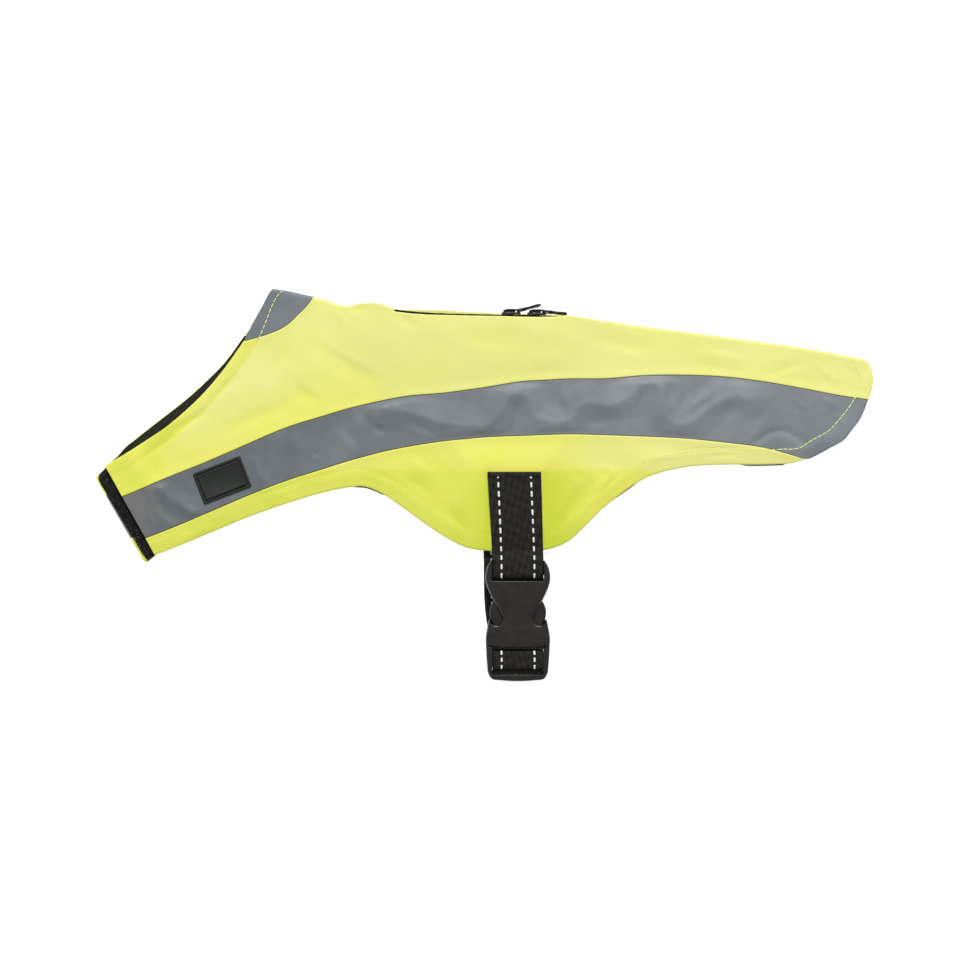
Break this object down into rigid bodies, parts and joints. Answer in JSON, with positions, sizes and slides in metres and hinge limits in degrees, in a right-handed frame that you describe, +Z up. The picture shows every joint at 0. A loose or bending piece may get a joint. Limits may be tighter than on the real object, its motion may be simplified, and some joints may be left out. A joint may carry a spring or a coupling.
{
  "type": "dog safety vest",
  "caption": "High-visibility vest for a small dog, laid flat and folded along the spine, with a reflective band, back zip, belly strap and side-release buckle.",
  "frame": {"origin": "middle of the vest's outline, on the surface it lies on", "axes": "+X towards the tail, +Y towards the spine, +Z up, out of the left side that shows"},
  "size_m": [0.388, 0.1963, 0.0108],
  "materials": {
    "hi_vis_cloth": "fine coated weave, fluorescent yellow",
    "reflective_cloth": "smooth satin reflective grey",
    "mesh_lining": "black knitted mesh",
    "hook_tape": "black hook-and-loop tape",
    "zip_tape": "black woven zip tape",
    "zip_coil": "black nylon coil",
    "zip_metal": "black painted die casting",
    "webbing": "black woven webbing with two rows of pale reflective stitches",
    "buckle_plastic": "black satin moulding",
    "rubber_patch": "matt moulded rubber with a raised rim"
  },
  "bodies": {
    "root": {"back_left": "hi_vis_cloth", "back_right": "hi_vis_cloth", "side_left": "hi_vis_cloth", "side_right": "hi_vis_cloth", "strip_left": "reflective_cloth", "strip_right": "reflective_cloth", "nape_left": "reflective_cloth", "nape_right": "reflective_cloth", "lining_right": "mesh_lining", "hook_tape_right": "hook_tape", "zip_tape_left": "zip_tape", "zip_tape_right": "zip_tape", "zip_coil_front": "zip_coil", "zip_coil_rear": "zip_coil", "slider_front": "zip_metal", "slider_rear": "zip_metal", "strap_left": "webbing", "strap_right": "webbing", "buckle_female": "buckle_plastic", "buckle_male": "buckle_plastic", "patch": "rubber_patch"},
    "pull_front": {"pull_front": "zip_metal"},
    "pull_rear": {"pull_rear": "zip_metal"}
  },
  "joints": [
    {"name": "pull_front_hinge", "type": "hinge", "parent": "root", "child": "pull_front", "pos_m": [0.0162, 0.08709, 0.00483], "axis": [0, -0.1392, 0.9903], "range_deg": [0, 117]},
    {"name": "pull_rear_hinge", "type": "hinge", "parent": "root", "child": "pull_rear", "pos_m": [0.029, 0.08707, 0.00483], "axis": [0, -0.1392, 0.9903], "range_deg": [0, 85]}
  ]
}
